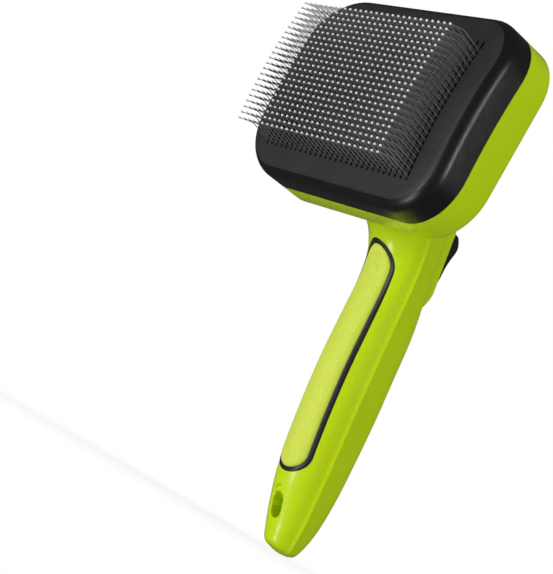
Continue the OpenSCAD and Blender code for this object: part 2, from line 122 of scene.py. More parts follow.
# how far the handle's root stands in the tray's wall, and how much the last ring is raised for the dome
NECK_ROOT, TIP_LIFT = 1.6, 0.35

INLAY_HALF, INLAY_TOP, INLAY_LOW, BORDER = 8.1, -35.3, -118.3, 1.6
INLAY_ARC, INLAY_SIDE = 40, 60
HANG_Z, HANG_W, HANG_L, HANG_ROUND = -129.3, 5.2, 8.6, 0.7
HANG_REACH = (HANG_L - HANG_W) / 2
DIMPLE_Z, DIMPLE_R, DIMPLE_FLOOR = -125.2, 2.3, 52.75

# half outline of the back grip from its point down to its round end: x, z
GRIP_EDGE = np.array([
    [0, 14], [3.4, 12.4], [6.4, 8.6], [8.6, 3], [9.6, -4], [9.9, -14], [9.5, -26], [9.1, -38],
    [9.2, -60], [9.2, -90], [9, -104], [8.1, -111], [5.8, -116], [2.6, -118.4], [0, -119],
])
GRIP_RIM = 1.7
UPPER_PAD, LOWER_PAD = (-16.6, 20.0), (-130.0, -53.4)

# closing screws of the handle: heights, place of the first head's seat and its slope down the handle,
# then the post's radius and how far it starts and ends before the seat, and the well's radius
SCREW_Z, SCREW_SEAT, SCREW_SLOPE = (-64.0, -84.0, -102.0), 55.3, 0.135
SCREW_POST_R, SCREW_POST, SCREW_WELL_R = 3.1, (12, 2.5), 2.7

SPRING_Y, SPRING_R, SPRING_WIRE, SPRING_TURNS = (9.7, 23.2), 4.6, 0.9, 5
BUTTON_SPRING_OUT, BUTTON_SPRING_R, BUTTON_SPRING_WIRE, BUTTON_SPRING_TURNS = (-10.4, -3.1), 3.5, 0.7, 4

# ---------- the shared frame ----------

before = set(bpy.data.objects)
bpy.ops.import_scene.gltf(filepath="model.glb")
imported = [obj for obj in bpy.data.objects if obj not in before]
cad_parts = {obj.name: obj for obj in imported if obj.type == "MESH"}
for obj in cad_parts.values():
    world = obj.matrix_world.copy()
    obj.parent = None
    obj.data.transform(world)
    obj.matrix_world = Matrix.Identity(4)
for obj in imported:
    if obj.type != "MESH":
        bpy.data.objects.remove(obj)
cad_lo, cad_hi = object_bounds()
cover_lo, cover_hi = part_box("front_cover")
ORIGIN = np.array([0, cover_lo.y, (cover_lo.z + cover_hi.z) / 2 - HEAD_LIFT * MM])


def metres(points):
    """Design-frame millimetres to row-frame metres."""
    return ORIGIN + np.asarray(points, float) * MM


def face_y(z):
    """How far the crowned face has fallen away at height z."""
    return FACE_R - np.sqrt(FACE_R**2 - (np.asarray(z, float) - HEAD_LIFT) ** 2)


# ---------- mesh building ----------


def add_object(name, data):
    """A new object in the scene."""
    obj = bpy.data.objects.new(name, data)
    bpy.context.scene.collection.objects.link(obj)
    return obj


def mesh_object(name, points, faces, merge=0.0):
    """A new object from design-frame points, with outward normals."""
    mesh = bpy.data.meshes.new(name)
    mesh.from_pydata(metres(points).tolist(), [], [tuple(int(i) for i in f) for f in faces])
    bm = bmesh.new()
    bm.from_mesh(mesh)
    if merge:
        bmesh.ops.remove_doubles(bm, verts=bm.verts, dist=merge * MM)
    bmesh.ops.recalc_face_normals(bm, faces=bm.faces)
    bm.to_mesh(mesh)
    bm.free()
    return add_object(name, mesh)


def smooth(mesh, sharp, *materials):
    """Smooth shading up to an angle in degrees, and these materials in place of any others."""
    mesh.shade_smooth()
    mesh.set_sharp_from_angle(angle=math.radians(sharp))
    mesh.materials.clear()
    for material in materials:
        mesh.materials.append(material)


def dress(obj, materials, body="body", replaces=(), sharp=35):
    """Smooth shading, materials, CAD body and the nodes the piece stands for."""
    smooth(obj.data, sharp, *(materials if isinstance(materials, list) else [materials]))
    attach(obj, body)
    if replaces:
        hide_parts(*replaces)


def apply_modifier(obj, kind, **settings):
    """Adds a modifier and makes its result the object's mesh."""
    mod = obj.modifiers.new(kind, kind)
    for key, value in settings.items():
        setattr(mod, key, value)
    graph = bpy.context.evaluated_depsgraph_get()
    result = bpy.data.meshes.new_from_object(obj.evaluated_get(graph))
    obj.modifiers.clear()
    old, obj.data = obj.data, result
    bpy.data.meshes.remove(old)


def cut(obj, *cutters):
    """Cuts closed solids out of obj and removes them."""
    for cutter in cutters:
        apply_modifier(obj, "BOOLEAN", operation="DIFFERENCE", solver="EXACT", object=cutter)
        bpy.data.objects.remove(cutter)


def join(first, *others):
    """Adds the other objects' geometry to the first."""
    bm = bmesh.new()
    for obj in (first, *others):
        bm.from_mesh(obj.data)
    bm.to_mesh(first.data)
    bm.free()
    for obj in others:
        bpy.data.objects.remove(obj)


def ring_faces(a, b):
    """Quads between two closed rings of point numbers."""
    n = len(a)
    return [(a[i], a[(i + 1) % n], b[(i + 1) % n], b[i]) for i in range(n)]


def ring_walls(rings, closed=False):
    """The point numbers of each ring, and the quads between neighbouring rings."""
    n = len(rings[0])
    numbers = [list(range(k * n, (k + 1) * n)) for k in range(len(rings))]
    following = numbers[1:] + numbers[:1] if closed else numbers[1:]
    return numbers, [f for a, b in zip(numbers, following) for f in ring_faces(a, b)]


def loft(rings):
    """Closed solid through equal rings of points, capped flat at both ends."""
    numbers, faces = ring_walls(rings)
    return np.concatenate(rings), faces + [numbers[0][::-1], numbers[-1]]


def copies(shapes, faces):
    """One mesh of many shapes that have the same faces."""
    n = len(shapes[0])
    return np.concatenate(shapes), [tuple(i + k * n for i in f) for k in range(len(shapes)) for f in faces]


def slab(top, bottom):
    """Closed solid between two grids of points of the same shape."""
    rows, columns = top.shape[:2]
    size = rows * columns
    n = np.arange(size).reshape(rows, columns)
    quads = np.stack([n[:-1, :-1], n[:-1, 1:], n[1:, 1:], n[1:, :-1]], axis=-1).reshape(-1, 4)
    edge = [*n[0, :], *n[1:, -1], *n[-1, -2::-1], *n[-2:0:-1, 0]]
    faces = [*quads, *(quads[:, ::-1] + size), *ring_faces(edge, [k + size for k in edge])]
    return np.concatenate([top.reshape(-1, 3), bottom.reshape(-1, 3)]), faces


def unit(vector):
    return vector / np.linalg.norm(vector)


def circle(sides):
    """Angles at equal steps round a circle."""
    return np.linspace(0, 2 * math.pi, sides, endpoint=False)


def rod(p0, p1, r, sides=24):
    """Cylinder between two points with softened rims, as points and faces."""
    p0, p1 = np.array(p0, float), np.array(p1, float)
    axis = unit(p1 - p0)
    side = unit(np.cross(axis, [1, 0, 0] if abs(axis[0]) < 0.9 else [0, 1, 0]))
    up = np.cross(axis, side)
    soft = min(0.25, r / 4)
    length = np.linalg.norm(p1 - p0)
    a = circle(sides)[:, None]
    around = np.cos(a) * side + np.sin(a) * up
    ends = ((0, r - soft), (soft, r), (length - soft, r), (length, r - soft))
    return loft([p0 + axis * along + radius * around for along, radius in ends])


def at_depth(contour, y):
    """Points [x, y, z] from a contour [x, z]; y is a number, or one number for each point."""
    return np.column_stack([contour[:, 0], np.broadcast_to(y, len(contour)), contour[:, 1]])


def extrude(profile, x0, x1):
    """Solid with a side profile [y, z] from x0 to x1, as points and faces."""
    profile = np.array(profile, float)
    return loft([np.column_stack([np.full(len(profile), x), profile]) for x in (x0, x1)])


def lengths(line):
    """How far along the line each of its points is."""
    steps = np.linalg.norm(np.diff(line, axis=0), axis=1)
    return np.concatenate([[0], np.cumsum(steps)])


def resample(line, count, start=0.0, end=0.0):
    """Points at equal distances, from a length after the line's start to a length before its end."""
    length = lengths(line)
    at = np.linspace(start, length[-1] - end, count)
    return np.column_stack([np.interp(at, length, column) for column in line.T])


def curve_point(a, b, c, d, t):
    """Point at share t from b to c, on the Catmull-Rom curve through a, b, c and d."""
    square = (2 * a - 5 * b + 4 * c - d) * t**2
    return 0.5 * (2 * b + (c - a) * t + square + (3 * b - a - 3 * c + d) * t**3)


def smooth_line(points, per_span):
    """Catmull-Rom line through all of the points but the first and the last."""
    line = []
    for four in zip(points, points[1:], points[2:], points[3:]):
        line += [curve_point(*four, t) for t in np.linspace(0, 1, per_span, endpoint=False)]
    return np.array([*line, points[-2]])


def bend(a, b, c, count=5):
    """Points from a to c that round the corner at b."""
    t = np.linspace(0, 1, count)[:, None]
    return (1 - t) ** 2 * a + 2 * t * (1 - t) * b + t**2 * c


def oblong(r, z_low, z_high, arc, side=0):
    """Closed contour [x, z]: half circles round two heights, with arc points each and side between."""
    turn = np.linspace(0, math.pi, arc)
    top = np.column_stack([r * np.cos(turn), z_high + r * np.sin(turn)])
    low = np.column_stack([-r * np.cos(turn), z_low - r * np.sin(turn)])
    up = np.column_stack([np.full(side, r), np.linspace(z_low, z_high, side + 2)[1:-1]])
    return np.concatenate([top, up[::-1] * [-1, 1], low, up])


def rounded_levels(half_h, corner, arc_steps, side_z, arc_z=(), inset=0.0):
    """Places on the right side of a rounded rectangle, from its lower edge to its upper edge.

    Each is (-1, angle) on the lower corner's arc, (0, z) on the straight side or (1, angle) on the upper
    corner's arc. arc_z are heights that the outline at that inset must have a point at.
    """
    arcs = {}
    for sign in (-1, 1):
        shares = [(sign * z - (half_h - corner)) / (corner - inset) for z in arc_z]
        angles = [math.asin(share) for share in shares if 0 < share < 1]
        angles += list(np.linspace(0, math.pi / 2, arc_steps + 1))
        arcs[sign] = [(sign, a) for a in sorted(angles)]
    return arcs[-1][::-1] + [(0, z) for z in side_z] + arcs[1]


def outline(levels, half_w, half_h, corner, inset):
    """Closed ring [x, z] of the rounded rectangle at an inset, right side first."""
    r = max(corner - inset, 0.01)
    points = []
    for sign, value in levels:
        if sign:
            x = half_w - inset - r + r * math.cos(value)
            points.append([x, sign * (half_h - inset - r + r * math.sin(value))])
        else:
            points.append([half_w - inset, value])
    right = np.array(points)
    return np.concatenate([right, right[::-1] * [-1, 1]])


def tone(value, low, high):
    """Smooth step from 0 at low to 1 at high."""
    t = np.clip((value - low) / (high - low), 0, 1)
    return t * t * (3 - 2 * t)


def round_drop(distance, radius):
    """How far a rounded edge has dropped at that distance in from the edge."""
    d = np.clip(distance, 0, radius)
    return radius - np.sqrt(radius**2 - (radius - d) ** 2)


# ---------- materials ----------


def add_node(tree, kind, **values):
    """A new node with some of its inputs set; an underscore in a name stands for a space."""
    node = tree.nodes.new(kind)
    for key, value in values.items():
        node.inputs[key.replace("_", " ")].default_value = value
    return node


class Shader:
    """A material's node tree with short calls for what these materials need."""

    def __init__(self, name, **values):
        self.material = bpy.data.materials.new(name)
        self.material.use_nodes = True
        self.tree = self.material.node_tree
        self.bsdf = self.tree.nodes["Principled BSDF"]
        for key, value in values.items():
            self.bsdf.inputs[key.replace("_", " ")].default_value = value
        self.place = self.add("ShaderNodeTexCoord").outputs["Object"]

    def link(self, output, target):
        self.tree.links.new(output, target)

    def add(self, kind, **values):
        return add_node(self.tree, kind, **values)

    def mapped(self, node, scale):
        """Gives the node the object's coordinates, stretched by scale."""
        mapping = self.add("ShaderNodeMapping", Scale=scale)
        self.link(self.place, mapping.inputs["Vector"])
        self.link(mapping.outputs["Vector"], node.inputs["Vector"])

    def noise(self, scale, detail=2.0, stretch=(1, 1, 1)):
        node = self.add("ShaderNodeTexNoise", Scale=scale, Detail=detail)
        self.mapped(node, stretch)
        return node.outputs["Fac"]

    def voronoi(self, scale):
        node = self.add("ShaderNodeTexVoronoi", Scale=scale)
        self.mapped(node, (1, 1, 1))
        return node.outputs["Distance"]

    def ranged(self, source, low, high, to_low, to_high):
        node = self.add("ShaderNodeMapRange", From_Min=low, From_Max=high, To_Min=to_low, To_Max=to_high)
        self.link(source, node.inputs["Value"])
        return node.outputs["Result"]

    def colours(self, source, stops):
        node = self.add("ShaderNodeValToRGB")
        ramp = node.color_ramp
        while len(ramp.elements) < len(stops):
            ramp.elements.new(0.5)
        for element, (at, colour) in zip(ramp.elements, stops):
            element.position = at
            element.color = (*colour, 1)
        self.link(source, node.inputs["Fac"])
        return node.outputs["Color"]

    def base(self, source, *stops):
        self.link(self.colours(source, stops), self.bsdf.inputs["Base Color"])

    def roughness(self, source, low, high):
        self.link(self.ranged(source, 0.3, 0.7, low, high), self.bsdf.inputs["Roughness"])

    def bump(self, source, depth_mm, strength=1.0, before=None):
        node = self.add("ShaderNodeBump", Distance=depth_mm * MM, Strength=strength)
        self.link(source, node.inputs["Height"])
        if before is not None:
            self.link(before, node.inputs["Normal"])
        self.link(node.outputs["Normal"], self.bsdf.inputs["Normal"])
        return node.outputs["Normal"]


def lighter(shade, times):
    return tuple(min(1.0, times * c) for c in shade)


def finish(name, shades, rough, grain, depth_mm, strength, mottle=(90, 3), spread=0.35, marks=(300, 3),
           **values):
    """A material whose colour, roughness and grain each follow a noise.

    shades are the two colours of the mottle and rough the two ends of the roughness. mottle, marks and
    grain are what noise() is called with. The first colour ends where the mottle's noise is spread, and
    the second starts where it is 1 - spread.
    """
    s = Shader(name, **values)
    s.base(s.noise(*mottle), (spread, shades[0]), (1 - spread, shades[1]))
    s.roughness(s.noise(*marks), *rough)
    s.bump(s.noise(*grain), depth_mm, strength)
    return s.material


def lime_plastic():
    """Glossy moulded plastic: a faint flow mottle, a trace of orange peel and a clear skin."""
    shades = ((0.560, 0.775, 0.002), (0.585, 0.800, 0.003))
    return finish("lime_gloss", shades, (0.24, 0.32), (260, 1), 0.010, 0.2, (60, 3), marks=(220, 3),
                  Coat_Weight=0.3, Coat_Roughness=0.1, Specular_IOR_Level=0.3)


def black_plastic(name, shade, rough, coat, grain_mm, shine=0.4):
    """Black moulded plastic with a fine grain; a small grain and a coat make it glossy."""
    return finish(name, (shade, lighter(shade, 1.15)), (rough - 0.04, rough + 0.04), (5200, 2), grain_mm,
                  0.35, Coat_Weight=coat, Coat_Roughness=0.12, Specular_IOR_Level=shine)


def black_rubber(name, rough, grain_mm, shade=0.016):
    """Soft black rubber with a bloom that lightens it in patches."""
    dark = (shade, shade, 1.05 * shade)
    return finish(name, (dark, lighter(dark, 1.4)), (rough - 0.05, rough + 0.05), (4200, 2), grain_mm,
                  0.4, (120, 4), 0.3, (700, 3), Specular_IOR_Level=0.4, Sheen_Weight=0.08,
                  Sheen_Roughness=0.4)


def lime_rubber():
    """Soft yellow-green grip: fine brushed streaks along the handle and a matt bloom."""
    s = Shader("grip_lime_soft", Specular_IOR_Level=0.3, Sheen_Weight=0.15, Sheen_Roughness=0.5)
    streaks = s.noise(1500, 3, stretch=(1.0, 1.0, 0.12))
    s.base(streaks, (0.3, (0.62, 0.735, 0.058)), (0.7, (0.69, 0.81, 0.082)))
    s.roughness(s.noise(900, 2), 0.50, 0.62)
    fine = s.bump(s.voronoi(2600), 0.020, 0.35)
    s.bump(streaks, 0.045, 0.5, before=fine)
    return s.material


def steel(name, shade, rough, metal=1.0):
    """Drawn or turned steel with fine lengthwise marks."""
    return finish(name, (shade, lighter(shade, 1.12)), (rough - 0.05, rough + 0.08),
                  (3600, 1, (1, 0.1, 1)), 0.004, 0.3, (900, 2), marks=(1800, 2, (1, 0.15, 1)),
                  Metallic=metal)


def white_epoxy():
    """The bead of epoxy on each pin's tip."""
    return finish("pin_tip", ((0.86, 0.86, 0.85), (0.94, 0.94, 0.93)), (0.22, 0.34), (1800, 1), 0.01, 0.2,
                  (500, 2), 0.3, (900, 2), Coat_Weight=0.6, Coat_Roughness=0.05, Specular_IOR_Level=0.5)


def nylon(name, shade):
    """Plain moulded nylon for the hidden mechanism."""
    return finish(name, (shade, lighter(shade, 1.08)), (0.42, 0.52), (2600, 2), 0.015, 0.3, (140, 3),
                  marks=(500, 3), Specular_IOR_Level=0.35)


LIME = lime_plastic()
COVER_MATT = black_plastic("cover_black", (0.026, 0.026, 0.027), 0.55, 0.0, 0.012)
# near-black gloss of the cover's rounded edge and skirt, also put on the slots' walls as painted shade
COVER_GLOSS_AND_SLOT_SHADE = black_plastic("cover_gloss_and_slot_shade", (0.005, 0.005, 0.0055), 0.36, 0.0, 0.001, shine=0.8)
BUTTON_GREY = black_plastic("button_grey", (0.016, 0.016, 0.018), 0.34, 0.15, 0.010)
GRIP_GLOSS = black_rubber("grip_black_gloss", 0.30, 0.004)
GRIP_TEXTURE = black_rubber("grip_black_textured", 0.50, 0.012)
GRIP_LIME = lime_rubber()
# the pins' steel is part diffuse grey, not bare metal: a painted reflection that lightens the wires
PIN_STEEL = steel("pin_wire", (0.42, 0.425, 0.43), 0.30, metal=0.6)
SPRING_STEEL = steel("spring_steel", (0.55, 0.56, 0.58), 0.25)
SCREW_STEEL = steel("screw_steel", (0.45, 0.46, 0.48), 0.35)
PIN_TIP = white_epoxy()
# darker than the grips' rubber: painted shade for the slots, where the cushion shows through the cover
CUSHION_SLOT_SHADE = black_rubber("cushion_rubber", 0.65, 0.02, shade=0.005)
CARRIER = nylon("nylon_grey", (0.48, 0.48, 0.46))
ROCKER = nylon("nylon_ivory", (0.66, 0.62, 0.50))

# ---------- head ----------

# heights of the points on the tray's straight sides
SIDE_Z = [-12, -8, -4, *WINDOW_Z, 11, 15]
HEAD = (HEAD_W / 2, HEAD_H / 2, HEAD_CORNER)
COLUMN_X = np.arange(COLUMNS) * COLUMN_PITCH - GRID_W / 2
# where the rings of the cover's rounded edge stand on its arc, and where its matt face ends
COVER_ANGLES, MATT_ANGLE = (90, 80, 70, 62, 54, 46, 38, 30, 22, 14, 7, 0), 62
COVER_RIM, TRAY_RIM = 0.14, 0.35


def head_ring(levels, inset, depth):
    """Ring of the head's outline at an inset; depth is a number, or a function of z."""
    ring = outline(levels, *HEAD, inset) + [0, HEAD_LIFT]
    return at_depth(ring, depth(ring[:, 1]) if callable(depth) else depth)


def behind_face(depth):
    return lambda z: depth + face_y(z)


def behind_seam(depth):
    return lambda z: SEAM_DEPTH + depth + SEAM_BOW * face_y(z)


def rounded_edge(levels, radius, degrees, depth, start=0.0):
    """Rings round an edge of that radius; depth turns the drop at a ring into its depth."""
    rings = []
    for a in np.radians(degrees):
        drop = radius * (1 - math.sin(a))
        rings.append(head_ring(levels, start + radius * (1 - math.cos(a)), depth(drop)))
    return rings


def pierced_sheet(ring, holes, hole_z):
    """Faces that close a ring with rectangular holes, and the points and numbers of the holes' rims.

    ring is the closed ring of the sheet's edge (right side first). holes are [x0, x1] spans that are
    open between the two heights of hole_z, both of which are heights of points of the ring.
    """
    n = len(ring) // 2
    right, left = list(range(n)), list(range(2 * n - 1, n - 1, -1))
    first, last = (int(np.argmin(abs(ring[:n, 2] - z))) for z in hole_z)
    breaks = [x for hole in holes for x in hole]
    points, rows = [], {}
    for i in range(first, last + 1):
        rows[i] = [len(ring) + len(points) + k for k in range(len(breaks))]
        points += [[x, ring[i, 1], ring[i, 2]] for x in breaks]
    faces = []
    for i in range(n - 1):
        below, above = rows.get(i, []), rows.get(i + 1, [])
        if below and above:
            low = [left[i], *below, right[i]]
            high = [left[i + 1], *above, right[i + 1]]
            faces += [(low[k], low[k + 1], high[k + 1], high[k]) for k in range(0, len(low), 2)]
        else:
            faces.append((left[i], *below, right[i], right[i + 1], *above[::-1], left[i + 1]))
    rims = []
    for k in range(0, len(breaks), 2):
        up = [rows[i][k + 1] for i in range(first, last + 1)]
        down = [rows[i][k] for i in range(last, first - 1, -1)]
        rims.append(up + down)
    return np.array(points).reshape(-1, 3), faces, rims


def pierced_shell(rings, holes, hole_z, chamfer):
    """Closed shell: rings run from the front sheet's edge round the wall to the back sheet's edge.

    Both sheets have the same holes, and the holes' walls join them.
    """
    n = len(rings[0])
    points = list(np.concatenate(rings))
    numbers, faces = ring_walls(rings)
    rims = []
    for ring, own in ((rings[0], numbers[0]), (rings[-1], numbers[-1])):
        extra, sheet, holes_rims = pierced_sheet(ring, holes, hole_z)
        start = len(points)

        def real(k, own=own, start=start):
            return own[k] if k < n else start + k - n

        points += list(extra)
        faces += [tuple(real(k) for k in f) for f in sheet]
        rims.append([[real(k) for k in rim] for rim in holes_rims])
    for front, back in zip(*rims):
        mouth = np.array([points[k] for k in front])
        middle = mouth.mean(axis=0)
        inner = mouth.copy()
        inner[:, 0] -= chamfer * np.sign(mouth[:, 0] - middle[0])
        inner[:, 1] += chamfer
        start = len(points)
        points += list(inner)
        lip = list(range(start, start + len(front)))
        faces += ring_faces(front, lip) + ring_faces(lip, back)
    return np.array(points), faces


def build_cover():
    slot_ends = (SLOT_LOW, SLOT_HIGH)
    inner_z = [z - HEAD_LIFT for z in slot_ends]
    levels = rounded_levels(HEAD_H / 2, HEAD_CORNER, 12, [-12, -6, 0, 6, 12], inner_z, COVER_FILLET)
    rings = rounded_edge(levels, COVER_FILLET, COVER_ANGLES, behind_face)
    rings.append(head_ring(levels, 0, behind_seam(-COVER_RIM)))
    rings.append(head_ring(levels, COVER_RIM, behind_seam(0)))
    rings.append(head_ring(levels, HEAD_WALL, behind_seam(0)))
    inner_r = COVER_FILLET - HEAD_WALL
    rings += rounded_edge(levels, inner_r, [0, 30, 60, 90], lambda drop: behind_face(FACE_WALL + drop),
                          start=HEAD_WALL)
    half = SLOT_W / 2
    holes = [[x - half, x + half] for x in COLUMN_X]
    points, faces = pierced_shell(rings, holes, slot_ends, SLOT_CHAMFER)
    cover = mesh_object("front_cover_shell", points, faces)
    dress(cover, [COVER_GLOSS_AND_SLOT_SHADE, COVER_MATT], replaces=["front_cover"], sharp=30)
    paint_face(cover, COVER_FILLET * (1 - math.cos(math.radians(MATT_ANGLE))))
    return cover


def paint_face(cover, inset):
    """The cover's front is matt inside that inset, glossy round its edge, and painted shade in its slots.
    """
    half_w, half_h = HEAD_W / 2 - inset, HEAD_H / 2 - inset
    r = HEAD_CORNER - inset
    for polygon in cover.data.polygons:
        x, y, z = (np.array(polygon.center) - ORIGIN) / MM
        dx = max(abs(x) - (half_w - r), 0)
        dz = max(abs(z - HEAD_LIFT) - (half_h - r), 0)
        front = y < face_y(z) + FACE_WALL and abs(polygon.normal.y) > 0.5
        # slot walls face across Y, so they take the near-black gloss: painted shade that darkens the slots
        polygon.material_index = int(front and math.hypot(dx, dz) < r + 0.05)


def ear_profile():
    """Side outline [y, z] of a pivot ear."""
    y, z = PIVOT
    inside = HEAD_DEPTH - HEAD_WALL + 1
    arc = [[y + EAR_R * math.cos(a), z + EAR_R * math.sin(a)] for a in np.linspace(-1.3, 1.3, 9)]
    return [[inside, z - EAR_FOOT], *arc, [inside, z + EAR_FOOT]]


def build_tray():
    levels = rounded_levels(HEAD_H / 2, HEAD_CORNER, 12, [z - HEAD_LIFT for z in SIDE_Z])
    floor_y = HEAD_DEPTH - HEAD_WALL
    rings = [head_ring(levels, HEAD_WALL, floor_y)]
    rings.append(head_ring(levels, HEAD_WALL, behind_seam(0.01)))
    rings += rounded_edge(levels, TRAY_RIM, [90, 60, 30, 0], behind_seam)
    rings += rounded_edge(levels, TRAY_FILLET, np.linspace(0, 90, 10), lambda drop: HEAD_DEPTH - drop)
    points, faces = pierced_shell(rings, [[-WINDOW_X, WINDOW_X]], WINDOW_Z, -0.01)
    tray = mesh_object("head_tray_shell", points, faces)
    parts = []
    for sx in (-1, 1):
        for sz in (-1, 1):
            x, z = sx * GUIDE_X, sz * GUIDE_Z
            parts.append(mesh_object("post", *rod([x, GUIDE_END, z], [x, floor_y + 1, z], GUIDE_R)))
        parts.append(mesh_object("ear", *extrude(ear_profile(), *sorted(sx * x for x in EAR_X))))
    join(tray, *parts)
    dress(tray, LIME, replaces=["head_tray"], sharp=30)


# ---------- pins ----------


def tube(path, radius, sides):
    """Round wire along a path in the YZ plane, as rings of points."""
    path = np.array(path, float)
    turn = circle(sides)
    rings = []
    for k, place in enumerate(path):
        along = unit(path[min(k + 1, len(path) - 1)] - path[max(k - 1, 0)])
        across = np.array([-along[1], along[0]])
        yz = place + np.outer(radius * np.sin(turn), across)
        rings.append(np.column_stack([radius * np.cos(turn), yz]))
    return rings


def build_pins():
    lean = SHANK_RISE / SHANK_OUT
    knee = np.array([-SHANK_OUT, SHANK_RISE])
    tip = knee + [-TIP_OUT, -TIP_DROP]
    shank, hook = unit(np.array([1, -lean])), unit(tip - knee)
    curve = bend(knee + WIRE_BEND * shank, knee, knee + WIRE_BEND * hook)
    path = [WIRE_ROOT * np.array([1, -lean]), *curve, tip]
    rows_z = np.arange(ROWS) * ROW_PITCH - GRID_H / 2
    x, z = np.meshgrid(COLUMN_X, rows_z, indexing="ij")
    places = np.column_stack([x.ravel(), face_y(z.ravel()), z.ravel()])
    places[:, 0] += rng.normal(0, PIN_SCATTER, len(places))
    wire, faces = loft(tube(path, WIRE_R, 8))
    wires = mesh_object("pin_wires", *copies([wire + place for place in places], faces))
    dress(wires, PIN_STEEL, "carrier", ["pins"], 50)
    bead_path = [tip + hook * BALL_R * along for along, _ in BEAD]
    rings = tube(bead_path, 1.0, 10)
    for ring, centre, (_, size) in zip(rings, bead_path, BEAD):
        middle = np.array([0, *centre])
        ring[:] = middle + (ring - middle) * BALL_R * size
    bead, faces = loft(rings)
    tips = mesh_object("pin_tips", *copies([bead + place for place in places], faces))
    dress(tips, PIN_TIP, "carrier", sharp=80)


# ---------- handle ----------


def station(u):
    """The handle's station at place u, on a smooth curve through the driving ones."""
    i = min(int(u), LAST_STATION - 1)
    near = STATIONS[[max(i - 1, 0), i, i + 1, min(i + 2, LAST_STATION)]]
    return curve_point(*near, u - i)


def front_arc(s, q, off=0.0):
    """Points of the front half's right side; q runs from 0 at the middle to CREASE."""
    front, part = s[0:2], s[2:4]
    depth = np.linalg.norm(part - front)
    share = (1 - np.cos(q)) / (1 - math.cos(CREASE))
    d = -off + (depth + off) * share
    x = (s[6] + off) * np.sin(q) / math.sin(CREASE)
    return np.column_stack([x, front + np.outer(d, (part - front) / depth)])


def back_arc(s, q, off=0.0):
    """Points of the back half's right side; q runs from a right angle at the crease to 0."""
    part, back, power = s[2:4], s[4:6], s[7]
    taper = 0.14 - 0.01 * power
    depth = np.linalg.norm(back - part)
    u = np.clip(np.cos(q), 0, 1) ** (2 / power)
    w = np.clip(np.sin(q), 0, 1) ** (2 / power)
    x = (s[6] + off) * (1 - taper * u) * w
    return np.column_stack([x, part + np.outer(u * (depth + off), (back - part) / depth)])


FRONT_POINTS, LIP_POINTS, BACK_POINTS, INNER_POINTS = 44, 12, 40, 24


def lipped(front, size):
    """The front's outline with a narrow lip along the crease that faces further forward than it."""
    along = np.gradient(front, axis=0)
    along /= np.linalg.norm(along, axis=1)[:, None]
    back = front[-1] - front[0]
    depth_way = back * [0, 1, 1] / np.linalg.norm(back[1:])
    inward = np.column_stack([-np.linalg.norm(along[:, 1:], axis=1), np.zeros((len(front), 2))])
    inward += along[:, :1] * depth_way
    length = lengths(front)
    left = (length[-1] - length) / size
    sink = np.where(left < LIP, left / LIP, 1 - tone(left, LIP, LIP_FADE))
    return front + inward * (size * LIP_SINK * sink)[:, None]


def half_section(u):
    """The right side's front and back outlines at a station, meeting just behind a soft crease."""
    s = station(u)
    size = min(1.0, s[6] / 8)
    front = lipped(front_arc(s, np.linspace(0, CREASE, 120)), size)
    back = back_arc(s, np.linspace(math.pi / 2, 0, 160))
    crease = back[0]
    lip = resample(front, LIP_POINTS, start=lengths(front)[-1] - size * LIP, end=size * SOFT)
    front = resample(front, FRONT_POINTS, end=size * LIP)
    back = resample(back, BACK_POINTS, start=size * SOFT)
    return np.concatenate([front, lip[1:-1], bend(lip[-1], crease, back[0])]), back


def soften_hole(points, direction):
    """Rounds the hang hole's rim: sinks the surface round it along Y in that direction."""
    dz = np.maximum(abs(points[:, 2] - HANG_Z) - HANG_REACH, 0)
    outside = np.hypot(points[:, 0], dz) - HANG_W / 2
    drop = direction * round_drop(outside, HANG_ROUND)
    return points + drop[:, None] * [0, 1, 0]


def station_places():
    """Where the handle's rings stand: closer together round the hang hole and towards the tip."""
    return np.unique(np.round(np.concatenate([
        np.linspace(0, 12, 85), np.linspace(12, 14.3, 92), np.linspace(14.3, LAST_STATION, 24)]), 4))


def whole(right):
    """Both sides of a line that starts or ends on the plane of symmetry, from left to right."""
    left = (right * [-1, 1, 1])[::-1]
    first, then = (left, right) if abs(right[0, 0]) < 1e-6 else (right, left)
    return np.concatenate([first, then[1:]])


def build_skin():
    """Ray-casting tree of the handle's outer surface in the row frame."""
    rings = []
    for u in np.linspace(0, LAST_STATION, 129):
        front, back = half_section(u)
        right = np.concatenate([front, back[1:]])
        rings.append(np.concatenate([right, (right * [-1, 1, 1])[-2:0:-1]]))
    points, faces = loft(rings)
    return BVHTree.FromPolygons([Vector(p) for p in metres(points)], [tuple(f) for f in faces])


SKIN = build_skin()


def on_skin(x, z, direction, height):
    """Point of the handle's surface at x, z, seen along Y, raised by height; direction 1 is the front."""
    start = Vector(metres([x, -direction * 150, z]))
    place, normal, _, _ = SKIN.ray_cast(start, Vector((0, direction, 0)))
    if place is None:
        place, normal, _, _ = SKIN.find_nearest(Vector(metres([x, 60, z])))
    if normal.y * direction > 0:
        normal = -normal
    return (np.array(place) - ORIGIN) / MM + np.array(normal) * height


def shell_rings(front_side):
    """Rings of one shell: its outside, then its inside, or the parting face beyond the cavity."""
    rings = []
    for u in station_places():
        s = station(u)
        front, back = half_section(u)
        if front_side:
            outer = soften_hole(whole(front), 1)
            inner = whole(front_arc(s, np.linspace(0, CREASE, INNER_POINTS), -SHELL_WALL))
        else:
            outer = soften_hole(whole(back), -1)
            inner = whole(back_arc(s, np.linspace(math.pi / 2, 0, INNER_POINTS), -SHELL_WALL))
        if u > CAVITY_LAST:
            t = np.linspace(0, 1, len(inner))[:, None]
            inner = outer[0] * (1 - t) + outer[-1] * t
        lift = TIP_LIFT * tone(u, LAST_STATION - 1, LAST_STATION)
        rings.append(np.concatenate([outer, inner[::-1]]) + [0, 0, lift])
    return [rings[0] - [0, NECK_ROOT, 0], *rings]


